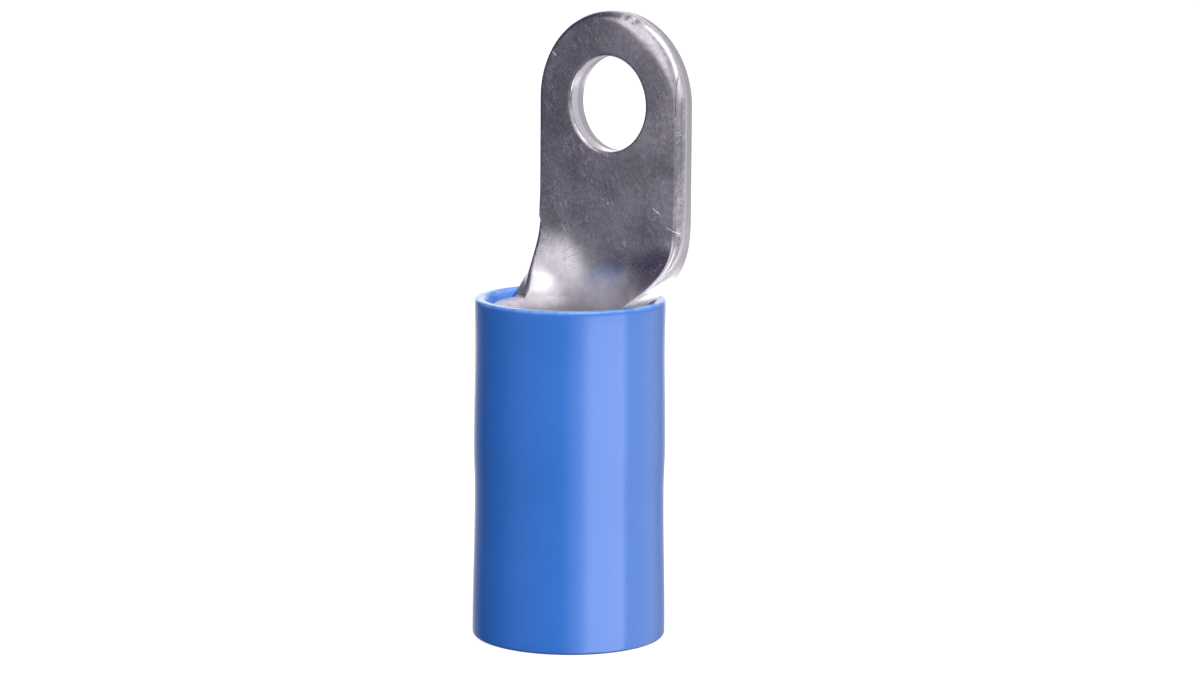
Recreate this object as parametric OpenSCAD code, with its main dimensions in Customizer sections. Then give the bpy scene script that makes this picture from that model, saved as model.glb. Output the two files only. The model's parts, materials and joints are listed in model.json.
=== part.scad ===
// Ring terminal for one heavy stranded wire: a flat tongue with a stud hole, a neck that
// scoops round into a rolled and brazed barrel, and a plastic sleeve that grips the barrel.
//
// Frame, in millimetres: the barrel's axis is the Z axis and the sleeve's wire end stands on
// z = 0. The tongue points up (+Z). It lies in line with the barrel's wall on the +Y side, so
// that its hollow side, with the seam below it, faces -Y.

/* [Strip] */
// Thickness of the copper strip that tongue, neck and barrel are formed from
strip_t = 1.2; // [0.8:0.05:1.5]

/* [Tongue] */
// Width of the flat tongue, and the diameter of its round end
tongue_w = 10.1; // [9:0.1:12]
// Height of the tongue's flat from the neck to the centre of its round end
tongue_l = 7; // [5.5:0.1:12]
// Diameter of the stud hole
stud_d = 5.3; // [3.5:0.1:6.5]
// How far the stud hole's centre lies below the centre of the round end
hole_drop = 0.1; // [0:0.05:1]
// Width of the roll that blanking leaves on the tongue's front edges
edge_roll_w = 0.36; // [0.1:0.02:0.5]
// How far that roll runs through the strip. The blanked face behind it is flat
edge_roll_h = 0.56; // [0.1:0.02:0.7]
// Radius that punching rolls onto the front edge of the stud hole
hole_roll = 0.1; // [0.05:0.05:0.3]

/* [Neck] */
// Length of the neck, from the barrel's mouth to the tongue's flat
neck_l = 4; // [3:0.1:7]
// How much narrower the neck is than the pressed tongue, at each side
press_step = 0.07; // [0.02:0.01:0.3]
// How much the neck widens into the barrel, at each side
neck_flare = 0.48; // [0.1:0.02:0.8]
// Size of the roll that is left on the neck's front edges at its foot
foot_roll = 0.08; // [0.04:0.02:0.2]
// How much thinner drawing leaves the neck, on each face
neck_thin = 0.02; // [0.01:0.01:0.05]

/* [Barrel] */
// Outside diameter of the wire barrel
barrel_d = 8.6; // [7.5:0.1:10]
// Length of the wire barrel
barrel_l = 8.8; // [6:0.1:12]
// Bevel inside the barrel's wire end, which leads the strands in
barrel_bevel = 0.3; // [0.1:0.05:0.5]
// Depth of the groove that the brazed seam leaves along the barrel
seam_depth = 0.12; // [0.05:0.01:0.3]
// Number of serrations, which are rings stamped into the bore to bite into the strands
serrations = 3; // [1:1:4]
// Width of one serration
serration_w = 0.5; // [0.2:0.05:0.8]
// Depth of one serration
serration_depth = 0.12; // [0.05:0.01:0.25]

/* [Sleeve] */
// Length of the insulating sleeve
sleeve_l = 19; // [17:0.1:26]
// Wall of the sleeve where it grips the barrel
sleeve_wall = 1; // [0.6:0.05:1.6]
// Radial clearance between the barrel and the sleeve that is bonded to it
sleeve_fit = 0.02; // [0.01:0.01:0.05]
// How far the sleeve's rim stands above the barrel's mouth
rim_stand = 0.4; // [0.1:0.05:1]
// Radial width of the lead-in inside the rim, which leaves room for the neck as it opens out
rim_lead_w = 0.5; // [0.5:0.02:0.6]
// Height of the lead-in inside the rim
rim_lead_h = 0.9; // [0.5:0.05:2]
// Radial width of the shoulder inside the sleeve, which stops the barrel's wire end
stop_w = 0.22; // [0.2:0.02:0.8]
// Radial width of the lead-in at the wire end
entry_lead_w = 0.45; // [0.2:0.05:0.5]
// Height of the lead-in at the wire end
entry_lead_h = 1.2; // [0.5:0.1:3]
// Rounding of the sleeve's outer edge at the rim
rim_round = 0.14; // [0.05:0.01:0.2]
// Rounding of the sleeve's outer edge at the wire end
base_round = 0.22; // [0.05:0.01:0.4]
// How much the sleeve's radius draws in at the waist below its rim
waist_draw = 0.06; // [0:0.01:0.15]
// How far that waist lies below the rim
waist_drop = 2.4; // [1:0.1:4]
// How much the sleeve's radius falls past the barrel's wire end
relax_draw = 0.055; // [0:0.005:0.15]
// Length over which it falls
relax_l = 2.6; // [1:0.1:4]
// How much the sleeve's radius is flared at its wire end
entry_flare = 0.06; // [0:0.01:0.3]

/* [Hidden] */
// Barrel and strip, on the one axis
barrel_r = barrel_d / 2;
bore_r = barrel_r - strip_t;
strip_mid = barrel_r - strip_t / 2;
mouth_z = sleeve_l - rim_stand;
barrel_z = mouth_z - barrel_l;
tongue_z = mouth_z + neck_l;
end_z = tongue_z + tongue_l;
hole_z = end_z - hole_drop;

// Neck: half width of the strip at its top and at its foot, and the angle that the foot wraps
neck_top_w = tongue_w / 2 - press_step;
neck_foot_w = neck_top_w + neck_flare;
wrap = neck_foot_w / strip_mid;
neck_face = strip_t / 2 - neck_thin;
// How far the neck runs on inside the tongue and the barrel's wall
neck_lap = 0.1;
neck_rings = 18;
neck_steps = 26;
roll_steps = 4;
edge_steps = 8;

// Sleeve
seat_r = barrel_r + sleeve_fit;
grip_r = seat_r + sleeve_wall;
entry_r = seat_r - stop_w;
curve_steps = 6;

// A cutter longer than what it cuts, and fineness of round faces
over = 1;
$fn = 96;

// Smooth rise from 0 to 1
function ease(x) = (1 - cos(180 * x)) / 2;

// ---- Terminal body: tongue, neck and barrel, one piece of tinned copper

// Points of a rolled front edge from the strip's side to its front, as [inset, depth]
function roll_curve(w, h, steps) = [
    for (i = [0 : steps])
        let (a = 90 * i / steps)
        [w * (1 - cos(a)), h * (1 - sin(a))]
];

// The strip's flat section, front edges rolled, seen along Z
module tongue_section() {
    half_w = tongue_w / 2;
    front = strip_mid - strip_t / 2;
    roll = roll_curve(edge_roll_w, edge_roll_h, edge_steps);
    polygon([
        [half_w, front + strip_t],
        [-half_w, front + strip_t],
        for (p = roll) [p[0] - half_w, front + p[1]],
        for (i = [edge_steps : -1 : 0]) [half_w - roll[i][0], front + roll[i][1]]
    ]);
}

// Bore for the stud, its front edge rolled, along +Z from the tongue's front face
module stud_cutter() {
    rotate_extrude() {
        translate([0, -over])
            square([stud_d / 2, strip_t + 2 * over]);
        difference() {
            translate([0, -over])
                square([stud_d / 2 + hole_roll, over + hole_roll]);
            translate([stud_d / 2 + hole_roll, hole_roll])
                circle(hole_roll);
        }
    }
}

module tongue() {
    difference() {
        union() {
            translate([0, 0, tongue_z])
                linear_extrude(tongue_l)
                    tongue_section();
            translate([0, 0, end_z])
                rotate([90, 0, 0])
                    rotate_extrude(angle = 180)
                        mirror([0, 1])
                            intersection() {
                                tongue_section();
                                square([tongue_w, barrel_d]);
                            }
        }
        translate([0, strip_mid - strip_t / 2, hole_z])
            rotate([-90, 0, 0])
                stud_cutter();
    }
}

// A point of the strip's section: u runs along its width, v through its thickness (front < 0),
// on a strip rolled to the given curvature about an axis in front of it
function rolled(u, v, curve) =
    curve == 0
    ? [u, strip_mid + v]
    : let (r = 1 / curve, a = u * curve * 180 / PI)
      [(r + v) * sin(a), strip_mid - r + (r + v) * cos(a)];

// Stations across the strip, left to right, as [u, v of the front face]: rolled edge, front,
// rolled edge
function strip_stations(half_w, roll_w, roll_h) =
    let (roll = roll_curve(roll_w, roll_h, roll_steps))
    [
        for (i = [0 : roll_steps - 1]) [roll[i][0] - half_w, roll[i][1] - neck_face],
        for (i = [0 : neck_steps])
            [(half_w - roll_w) * (2 * i / neck_steps - 1), -neck_face],
        for (i = [roll_steps - 1 : -1 : 0]) [half_w - roll[i][0], roll[i][1] - neck_face]
    ];

// Outline of the strip's section: the back from left to right, the front from right to left
function strip_outline(half_w, roll_w, roll_h) =
    let (s = strip_stations(half_w, roll_w, roll_h), n = len(s))
    [
        for (i = [0 : n - 1]) [s[i][0], neck_face],
        for (i = [n - 1 : -1 : 0]) s[i]
    ];

// One ring of the neck at height z, x from 0 at the barrel's mouth to 1 at the tongue. The
// strip rolls up with the square of the way down, and widens only near its foot
function neck_ring(x, z) =
    let (
        down = 1 - x,
        half_w = neck_top_w + neck_flare * pow(down, 5),
        roll_w = foot_roll + (edge_roll_w - foot_roll) * x,
        roll_h = foot_roll + (edge_roll_h - foot_roll) * x,
        curve = wrap * pow(down, 2) / half_w
    )
    [for (p = strip_outline(half_w, roll_w, roll_h))
        let (q = rolled(p[0], p[1], curve))
        [q[0], q[1], z]];

// Two triangles over the corners of a quad, clockwise as seen from outside
function quad(a, b, c, d) = [[a, b, c], [a, c, d]];

// Skin over equal rings, stacked upwards, each listed clockwise as seen from above. Point i of
// a ring's first half faces point n - 1 - i of its second half, and the end caps are ladders
// between the two
module skin(rings) {
    n = len(rings[0]);
    top = (len(rings) - 1) * n;
    polyhedron(
        points = [for (ring = rings) each ring],
        faces = [
            for (i = [0 : n / 2 - 2])
                each quad(i + 1, i, n - 1 - i, n - 2 - i),
            for (i = [0 : n / 2 - 2])
                each quad(top + i, top + i + 1, top + n - 2 - i, top + n - 1 - i),
            for (k = [0 : len(rings) - 2], i = [0 : n - 1])
                let (a = k * n + i, b = k * n + (i + 1) % n)
                each quad(a, b, b + n, a + n)
        ]
    );
}

module neck() {
    skin([
        neck_ring(0, mouth_z - neck_lap),
        for (k = [0 : neck_rings])
            neck_ring(k / neck_rings, mouth_z + neck_l * k / neck_rings),
        neck_ring(1, tongue_z + neck_lap)
    ]);
}

module barrel() {
    serration_pitch = barrel_l / (serrations + 1);
    difference() {
        translate([0, 0, barrel_z])
            cylinder(h = barrel_l, r = barrel_r);
        translate([0, 0, barrel_z - over])
            cylinder(h = barrel_l + 2 * over, r = bore_r);
        for (i = [1 : serrations])
            translate([0, 0, barrel_z + i * serration_pitch])
                rotate_extrude()
                    translate([bore_r, 0])
                        polygon([
                            [-serration_depth, serration_w / 2],
                            [-serration_depth, -serration_w / 2],
                            [0, -serration_w / 2],
                            [serration_depth, 0],
                            [0, serration_w / 2]
                        ]);
        translate([0, 0, barrel_z])
            cylinder(h = barrel_bevel, r1 = bore_r + barrel_bevel, r2 = bore_r);
        translate([0, -barrel_r, barrel_z - over])
            linear_extrude(barrel_l + 2 * over)
                rotate(45)
                    square(seam_depth * sqrt(2), center = true);
    }
}

module terminal_body() {
    color("silver")
        union() {
            tongue();
            neck();
            barrel();
        }
}

// ---- Insulating sleeve: one plastic tube, drawn tight over the barrel

// Outside of the sleeve between its two rounded edges, as [height, radius] of its main stations
function sleeve_stations() =
    let (waist = grip_r - waist_draw, slack = grip_r - relax_draw)
    [
        [base_round, grip_r + entry_flare],
        [barrel_z - relax_l * 0.6, slack],
        [barrel_z + relax_l * 0.4, grip_r],
        [sleeve_l - waist_drop, waist],
        [sleeve_l - rim_round, (grip_r + waist) / 2]
    ];

// Eased curve through those stations, from the wire end to the rim
function sleeve_side() =
    let (s = sleeve_stations())
    [
        for (k = [0 : len(s) - 2], i = [0 : curve_steps - 1])
            let (x = i / curve_steps)
            [s[k][1] + (s[k + 1][1] - s[k][1]) * ease(x), s[k][0] + (s[k + 1][0] - s[k][0]) * x],
        [s[len(s) - 1][1], s[len(s) - 1][0]]
    ];

// Cutter for a funnel that opens upwards from a bore of radius r to w more at z = 0
module lead_in(r, w, h) {
    slope = w / h;
    translate([0, 0, -h])
        cylinder(h = h + over, r1 = r, r2 = r + slope * (h + over));
}

module insulating_sleeve() {
    side = sleeve_side();
    base_r = side[0][0] - base_round;
    rim_r = side[len(side) - 1][0] - rim_round;
    color("royalblue")
        difference() {
            rotate_extrude() {
                polygon(concat([[0, base_round]], side, [[0, sleeve_l - rim_round]]));
                square([base_r, sleeve_l]);
                translate([base_r, base_round])
                    circle(base_round);
                square([rim_r, sleeve_l]);
                translate([rim_r, sleeve_l - rim_round])
                    circle(rim_round);
            }
            translate([0, 0, barrel_z])
                cylinder(h = sleeve_l, r = seat_r);
            translate([0, 0, -over])
                cylinder(h = barrel_z + 2 * over, r = entry_r);
            translate([0, 0, sleeve_l])
                lead_in(seat_r, rim_lead_w, rim_lead_h);
            mirror([0, 0, 1])
                lead_in(entry_r, entry_lead_w, entry_lead_h);
        }
}

terminal_body();
insulating_sleeve();
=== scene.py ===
"""Looks of an insulated ring terminal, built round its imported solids.

Sizes of the piece are in millimetres up to the point where a mesh is made, and every Blender
object is in metres. The barrel's axis is Z, the tongue lies flat on the +Y side, and its hollow
side faces -Y.
"""

import json
import math

import bmesh
import bpy
import numpy as np
from mathutils import Matrix, Vector
from mathutils.geometry import delaunay_2d_cdt


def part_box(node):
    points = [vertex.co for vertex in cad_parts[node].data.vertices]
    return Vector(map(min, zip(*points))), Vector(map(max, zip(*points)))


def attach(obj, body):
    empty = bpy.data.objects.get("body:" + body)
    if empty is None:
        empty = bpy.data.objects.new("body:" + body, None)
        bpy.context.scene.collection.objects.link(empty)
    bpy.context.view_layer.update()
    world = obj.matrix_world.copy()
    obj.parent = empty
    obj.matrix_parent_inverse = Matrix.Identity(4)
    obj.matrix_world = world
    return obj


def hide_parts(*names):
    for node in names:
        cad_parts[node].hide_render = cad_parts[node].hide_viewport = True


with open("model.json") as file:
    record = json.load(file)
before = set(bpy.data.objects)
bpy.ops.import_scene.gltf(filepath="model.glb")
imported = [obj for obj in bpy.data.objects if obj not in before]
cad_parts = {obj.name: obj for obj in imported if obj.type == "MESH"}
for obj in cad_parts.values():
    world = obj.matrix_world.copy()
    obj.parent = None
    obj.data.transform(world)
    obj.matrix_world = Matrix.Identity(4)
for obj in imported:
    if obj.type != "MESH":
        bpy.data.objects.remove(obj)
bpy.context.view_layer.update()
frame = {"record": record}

# ---------------------------------------------------------------- sizes, in millimetres

MM = 0.001
MOUNTS = {mount["name"]: mount for mount in frame["record"]["mounts"]}


def mount_place(name, axis):
    """One coordinate of a mount's point, in millimetres."""
    return MOUNTS[name]["pos_m"][axis] / MM


BODY_LOW, BODY_HIGH = (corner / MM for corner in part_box("terminal_body"))
SLEEVE_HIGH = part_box("insulating_sleeve")[1] / MM

# Strip and barrel
BARREL_R = mount_place("tongue_back", 1)
STRIP_T = BARREL_R - mount_place("tongue_front", 1)
STRIP_MID = BARREL_R - STRIP_T / 2
HALF_T = STRIP_T / 2
BORE_R = BARREL_R - STRIP_T
BARREL_Z = BODY_LOW.z
RIM_STAND = 0.4
MOUTH_Z = SLEEVE_HIGH.z - RIM_STAND
MOUTH_ROUND = 0.06
BARREL_BEVEL = 0.3
SERRATIONS = 3
SERRATION_PITCH = (MOUTH_Z - BARREL_Z) / (SERRATIONS + 1)
SERRATION_W = 0.5
SERRATION_DEPTH = 0.12
SEAM_DEPTH = 0.12
SEAM_W = 0.24

# Tongue
TONGUE_R = (BODY_HIGH.x - BODY_LOW.x) / 2
END_Z = BODY_HIGH.z - TONGUE_R
HOLE_Z = mount_place("stud_hole", 2)
STUD_R = MOUNTS["stud_hole"]["dims"]["r_mm"]

# Neck
NECK_L = 4.0
TONGUE_Z = MOUTH_Z + NECK_L
NECK_FLARE = 0.48

# The press flattens the tongue and so widens it by a step, part of whose length is below the flat
PRESS_STEP = 0.07
PRESS_STEP_L = 0.8
PRESS_STEP_BELOW = 0.56
NECK_TOP_W = TONGUE_R - PRESS_STEP
WRAP = (NECK_TOP_W + NECK_FLARE) / STRIP_MID

# What the press leaves in the edges, to the right (1) and to the left (-1): the depth and height
# of a nick, which only the left has, and the length of the step
NICKS = {1: (0.0, 0.25, 1.8), -1: (0.06, 0.15, PRESS_STEP_L)}

# Blanked edges: the rolled front corner, the narrow land that ends it and the torn face behind
ROLL_W = 0.36
ROLL_DEPTH = 0.56
LEAST_ROLL_W = 0.06
HOLE_ROLL_W = 0.14
HOLE_ROLL_DEPTH = 0.16
BACK_ROUND = 0.05

# Share of the rolled corner that lasts down to the neck's foot, on the right (1) and the left (-1),
# and the share of the neck's height over which it ends there
FOOT_ROLLS = {1: 0.06, -1: 0.5}
FOOT_ROLL_END = 0.08

# Round its upper right the tongue's corner is rolled wider: by how much, at which turn in degrees
# and how many degrees it spreads
WIDE_ROLL, WIDE_ROLL_TURN, WIDE_ROLL_SPREAD = 0.6, 50.0, 32.0

# The tongue's front is crowned across, from the height at which the press takes hold
CROWN = 0.09
CROWN_START_L = 2.0

# Dents of the front face, as (across, up, half width, half height, depth)
DENTS = (
    (1.70, 34.20, 0.28, 0.13, 0.10),
    (1.15, 34.45, 0.16, 0.20, 0.08),
)

# Half height of the easing between the bore and the neck, on the right (1) and the left (-1)
EASE_HEIGHTS = {1: 0.5, -1: 0.9}

# Sleeve
SLEEVE_L = SLEEVE_HIGH.z
SLEEVE_FIT = 0.02
SLEEVE_WALL = 1.0
SEAT_R = BARREL_R + SLEEVE_FIT
GRIP_R = SEAT_R + SLEEVE_WALL
ENTRY_R = MOUNTS["wire_entry"]["dims"]["r_mm"]
WAIST_DRAW = 0.06
WAIST_DROP = 2.4
RELAX_DRAW = 0.055
RELAX_L = 2.6
RELAX_BELOW = 0.6
ENTRY_FLARE = 0.06
RIM_ROUND = 0.14
BASE_ROUND = 0.22
RIM_LEAD_W, RIM_LEAD_H = 0.5, 0.9
ENTRY_LEAD_W, ENTRY_LEAD_H = 0.45, 1.2
SLEEVE_RIPPLE = 0.012
RIPPLE_SCALE = 160.0
RIPPLE_STRETCH = (0.004, 0.004, 1.0)
RIPPLE_SEED = 3.0


# ---------------------------------------------------------------- camera, floor and light

# Angles in degrees, the azimuth turned from -Y towards +X, and lengths in millimetres
CAMERA_AZIMUTH = 39.3
CAMERA_DISTANCE = 207.8
CAMERA_HEIGHT = 50.3
CAMERA_PAN = 0.457
CAMERA_TILT = 9.18
CAMERA_ROLL = 0.39
CAMERA_LENS = 114.1
CAMERA_SENSOR = 36.0
CAMERA_NEAR = 5.0


def spin(degrees, axis):
    return Matrix.Rotation(math.radians(degrees), 4, axis)


def stand(name, data):
    """A new object of the given data, put into the scene."""
    made = bpy.data.objects.new(name, data)
    bpy.context.scene.collection.objects.link(made)
    return made


def set_camera():
    data = bpy.data.cameras.new("camera")
    data.sensor_width = CAMERA_SENSOR
    data.lens = CAMERA_LENS
    data.clip_start = CAMERA_NEAR * MM
    camera = stand("camera", data)
    turn = math.radians(CAMERA_AZIMUTH)
    place = Vector((math.sin(turn), -math.cos(turn), 0)) * CAMERA_DISTANCE
    place.z = CAMERA_HEIGHT
    aim = spin(CAMERA_AZIMUTH - CAMERA_PAN, "Z") @ spin(90 - CAMERA_TILT, "X")
    camera.matrix_world = Matrix.Translation(place * MM) @ aim @ spin(CAMERA_ROLL, "Z")
    bpy.context.scene.camera = camera


# ---------------------------------------------------------------- node helpers


def put(tree, kind, inputs=None, **settings):
    """A new node with its settings and inputs. An input is a value, or a socket to link."""
    made = tree.nodes.new(kind)
    for name, value in settings.items():
        setattr(made, name, value)
    for name, value in (inputs or {}).items():
        if isinstance(value, bpy.types.NodeSocket):
            tree.links.new(value, made.inputs[name])
        else:
            made.inputs[name].default_value = value
    return made


def maths(tree, operation, *values, clamp=False):
    inputs = dict(enumerate(values))
    return put(tree, "ShaderNodeMath", inputs, operation=operation, use_clamp=clamp).outputs[0]


def vector_maths(tree, operation, *values, out="Vector"):
    inputs = dict(enumerate(values))
    return put(tree, "ShaderNodeVectorMath", inputs, operation=operation).outputs[out]


def smooth_band(tree, value, low, high, level_low=0.0, level_high=1.0):
    """Smooth rise from level_low to level_high as value goes from low to high."""
    inputs = {"Value": value, "From Min": low, "From Max": high}
    inputs |= {"To Min": level_low, "To Max": level_high}
    made = put(tree, "ShaderNodeMapRange", inputs, interpolation_type="SMOOTHSTEP")
    return made.outputs["Result"]


def mix_colors(tree, factor, first, second):
    inputs = {0: factor, 6: first, 7: second}
    return put(tree, "ShaderNodeMix", inputs, data_type="RGBA").outputs[2]


def new_group(name, inputs, outputs, kind="ShaderNodeTree"):
    """An empty node group: inputs and outputs are (name, socket kind, default) and (name, kind)."""
    group = bpy.data.node_groups.new(name, kind)
    for title, socket, default in inputs:
        made = group.interface.new_socket(title, in_out="INPUT", socket_type=socket)
        if default is not None:
            made.default_value = default
    for title, socket in outputs:
        group.interface.new_socket(title, in_out="OUTPUT", socket_type=socket)
    return group, group.nodes.new("NodeGroupInput"), group.nodes.new("NodeGroupOutput")


def place_group(tree, group, inputs):
    return put(tree, "ShaderNodeGroup", inputs, node_tree=group)


def object_millimetres(tree):
    """Object coordinates in millimetres."""
    place = put(tree, "ShaderNodeTexCoord").outputs["Object"]
    scaled = put(tree, "ShaderNodeVectorMath", {0: place, "Scale": 1 / MM}, operation="SCALE")
    return scaled.outputs["Vector"]


def noise(tree, place, scale, detail=2.0, roughness=0.5):
    inputs = {"Vector": place, "Scale": scale, "Detail": detail, "Roughness": roughness}
    return put(tree, "ShaderNodeTexNoise", inputs).outputs["Fac"]


def new_paint(name):
    """A new material and its empty tree."""
    paint = bpy.data.materials.new(name)
    paint.use_nodes = True
    paint.node_tree.nodes.clear()
    return paint, paint.node_tree


def show_surface(tree, shader):
    put(tree, "ShaderNodeOutputMaterial", {"Surface": shader.outputs[0]})


# ---------------------------------------------------------------- studio

# What gloss and metal mirror far off. Turns are degrees round from the camera to its right hand,
# rises are degrees above the horizon, each as (start, full, full, end), with a level
PANELS = {
    "front_low": ((-90, -66, 40, 90), (-89, -80, 100, 110), 0.16),
    "front_wall": ((-82, -62, 10, 60), (-8.2, -1.5, 100, 110), 0.28),
    "front_box": ((-80, -67, -45, -25), (0, 14, 40, 62), 0.5),
    "top_box": ((-35, -5, 55, 85), (48, 64, 82, 89), 1.8),
    "ceiling": ((-200, -190, 190, 200), (45, 72, 100, 110), 0.3),
    "right_wall": ((40, 84, 190, 215), (-85, -70, 100, 110), 0.46),
    "key_box": ((4, 22, 62, 80), (0, 12, 100, 110), 0.5),
    "key_core": ((6, 18, 42, 54), (14, 26, 62, 72), 0.85),
    "back_box": ((148, 164, 196, 212), (-14, -4, 14, 30), 0.95),
}
STUDIO_DARK = (0.066, 0.058, 0.102)
AMBIENT_LEFT, AMBIENT_RIGHT = 0.58, 0.42

# Pale cards that stand round the sleeve, below the tongue, on a band of this radius and height.
# Each has its turns, its heights in millimetres and its level
CARD_R = 30.0
CARD_BAND_H = 80.0
CARD_BAND_STEPS = 96
CARDS = {
    "key_card": ((10, 24, 62, 68), (-40, -38, 15, 17), 1.6),
    "side_card": ((-10, 12, 100, 138), (-40, -38, 14.5, 16.5), 0.85),
    "foot_card": ((-128, -118, -104, -97), (15.5, 17, 20, 21.5), 0.7),
    "left_card": ((-172, -158, -136, -118), (-40, -38, 14, 16), 0.25),
}


def panel_group():
    """Level of one soft-edged panel in the direction that a ray takes."""
    ends = [f"{way} {end}" for way in ("Turn", "Rise") for end in ("Start", "Full", "Last", "End")]
    inputs = [(name, "NodeSocketFloat", 0.0) for name in ["Turn", "Rise", *ends, "Level"]]
    group, given, result = new_group("studio_panel", inputs, [("Level", "NodeSocketFloat")])
    seen = given.outputs
    level = seen["Level"]
    for way in ("Turn", "Rise"):
        up = smooth_band(group, seen[way], seen[f"{way} Start"], seen[f"{way} Full"])
        down = smooth_band(group, seen[way], seen[f"{way} Last"], seen[f"{way} End"], 1.0, 0.0)
        level = maths(group, "MULTIPLY", level, maths(group, "MULTIPLY", up, down))
    group.links.new(level, result.inputs["Level"])
    return group


def sum_of_panels(tree, group, table, turned, risen):
    """Level of a table of panels together. A table's turns may run on past 180 degrees."""
    around = maths(tree, "MODULO", maths(tree, "ADD", turned, 360.0), 360.0)
    names = ("Start", "Full", "Last", "End")
    level = 0.0
    for turns, rises, strength in table.values():
        past = turns[-1] > 180 and turns[0] >= 0
        inputs = {"Turn": around if past else turned, "Rise": risen, "Level": strength}
        inputs |= {f"Turn {name}": value for name, value in zip(names, turns)}
        inputs |= {f"Rise {name}": value for name, value in zip(names, rises)}
        level = maths(tree, "ADD", level, place_group(tree, group, inputs).outputs["Level"])
    return level


def camera_ways(tree, ray):
    """How far a direction or place lies towards the camera, and to the camera's right."""
    turn = math.radians(CAMERA_AZIMUTH)
    to_camera = (math.sin(turn), -math.cos(turn), 0)
    to_right = (math.cos(turn), math.sin(turn), 0)
    front = vector_maths(tree, "DOT_PRODUCT", ray, to_camera, out="Value")
    right = vector_maths(tree, "DOT_PRODUCT", ray, to_right, out="Value")
    return front, right


def light_studio(panels):
    """World: white to the camera, the panels to gloss, and plain soft light to what is matt."""
    world = bpy.data.worlds.new("studio")
    bpy.context.scene.world = world
    bpy.context.scene.view_settings.view_transform = "Standard"
    world.use_nodes = True
    world.cycles.sampling_method = "NONE"
    tree = world.node_tree
    tree.nodes.clear()
    ray = put(tree, "ShaderNodeTexCoord").outputs["Generated"]
    front, right = camera_ways(tree, ray)
    split = put(tree, "ShaderNodeSeparateXYZ", {"Vector": ray})
    turned = maths(tree, "DEGREES", maths(tree, "ARCTAN2", right, front))
    risen = maths(tree, "DEGREES", maths(tree, "ARCSINE", split.outputs["Z"]))
    level = sum_of_panels(tree, panels, PANELS, turned, risen)
    mirrored = vector_maths(tree, "ADD", level, STUDIO_DARK)
    ambient = smooth_band(tree, right, -1.0, 1.0, AMBIENT_LEFT, AMBIENT_RIGHT)
    paths = put(tree, "ShaderNodeLightPath").outputs
    shown = maths(tree, "MAXIMUM", paths["Is Camera Ray"], paths["Is Transmission Ray"])
    color = mix_colors(tree, paths["Is Glossy Ray"], ambient, mirrored)
    color = mix_colors(tree, shown, color, (1, 1, 1, 1))
    glow = put(tree, "ShaderNodeBackground", {"Color": color})
    put(tree, "ShaderNodeOutputWorld", {"Surface": glow.outputs[0]})


def stand_cards(panels):
    """The band of cards, which only gloss and metal show. It adds its light to what is behind."""
    band = {"radius1": CARD_R * MM, "radius2": CARD_R * MM, "depth": CARD_BAND_H * MM}
    work = bmesh.new()
    bmesh.ops.create_cone(work, cap_ends=False, segments=CARD_BAND_STEPS, **band)
    mesh = bpy.data.meshes.new("cards")
    work.to_mesh(mesh)
    work.free()
    cards = stand("cards", mesh)
    for rays in ("camera", "diffuse", "transmission", "volume_scatter", "shadow"):
        setattr(cards, f"visible_{rays}", False)
    paint, tree = new_paint("card_glow")
    place = object_millimetres(tree)
    front, right = camera_ways(tree, place)
    turned = maths(tree, "DEGREES", maths(tree, "ARCTAN2", right, front))
    height = put(tree, "ShaderNodeSeparateXYZ", {"Vector": place}).outputs["Z"]
    level = sum_of_panels(tree, panels, CARDS, turned, height)
    lit = put(tree, "ShaderNodeEmission", {"Strength": level})
    clear = put(tree, "ShaderNodeBsdfTransparent")
    show_surface(tree, put(tree, "ShaderNodeAddShader", {0: clear.outputs[0], 1: lit.outputs[0]}))
    mesh.materials.append(paint)


# Soft lamps for the matt part of each surface: (turn from the camera, rise, size in mm, strength)
LAMPS = {
    "key_lamp": (24, 22, 160, 0.47),
    "top_lamp": (20, 75, 200, 0.3),
}
LAMP_DISTANCE = 420.0


def add_lamp(name, turn, rise, size, strength):
    data = bpy.data.lights.new(name, "AREA")
    data.shape = "DISK"
    data.size = size * MM
    data.energy = strength * 4 * (LAMP_DISTANCE * MM) ** 2 * math.pi
    lamp = stand(name, data)
    lamp.visible_glossy = False
    lamp.visible_camera = False
    aim = spin(CAMERA_AZIMUTH + turn, "Z") @ spin(90 - rise, "X")
    centre = Matrix.Translation((0, 0, SLEEVE_L * MM))
    lamp.matrix_world = centre @ aim @ Matrix.Translation((0, 0, LAMP_DISTANCE * MM))


FLOOR_HALF = 3000.0
FLOOR_SHADE = 0.35
FLOOR_GLOW = 0.9


def lay_floor():
    """Pale floor. Its glow makes it white to the camera, and its matt part keeps the shadow."""
    half = FLOOR_HALF * MM
    corners = [(-half, -half, 0), (half, -half, 0), (half, half, 0), (-half, half, 0)]
    mesh = bpy.data.meshes.new("floor")
    mesh.from_pydata(corners, [], [(0, 1, 2, 3)])
    floor = stand("floor", mesh)
    floor.visible_glossy = False
    paint, tree = new_paint("pale_floor")
    matt = put(tree, "ShaderNodeBsdfDiffuse", {"Color": (FLOOR_SHADE,) * 3 + (1,)})
    paths = put(tree, "ShaderNodeLightPath").outputs
    glow = maths(tree, "MULTIPLY", paths["Is Camera Ray"], FLOOR_GLOW)
    lit = put(tree, "ShaderNodeEmission", {"Strength": glow})
    show_surface(tree, put(tree, "ShaderNodeAddShader", {0: matt.outputs[0], 1: lit.outputs[0]}))
    mesh.materials.append(paint)


# ---------------------------------------------------------------- finishes


SCUFF_STRETCH = (1.0, 1.0, 0.09)


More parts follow.
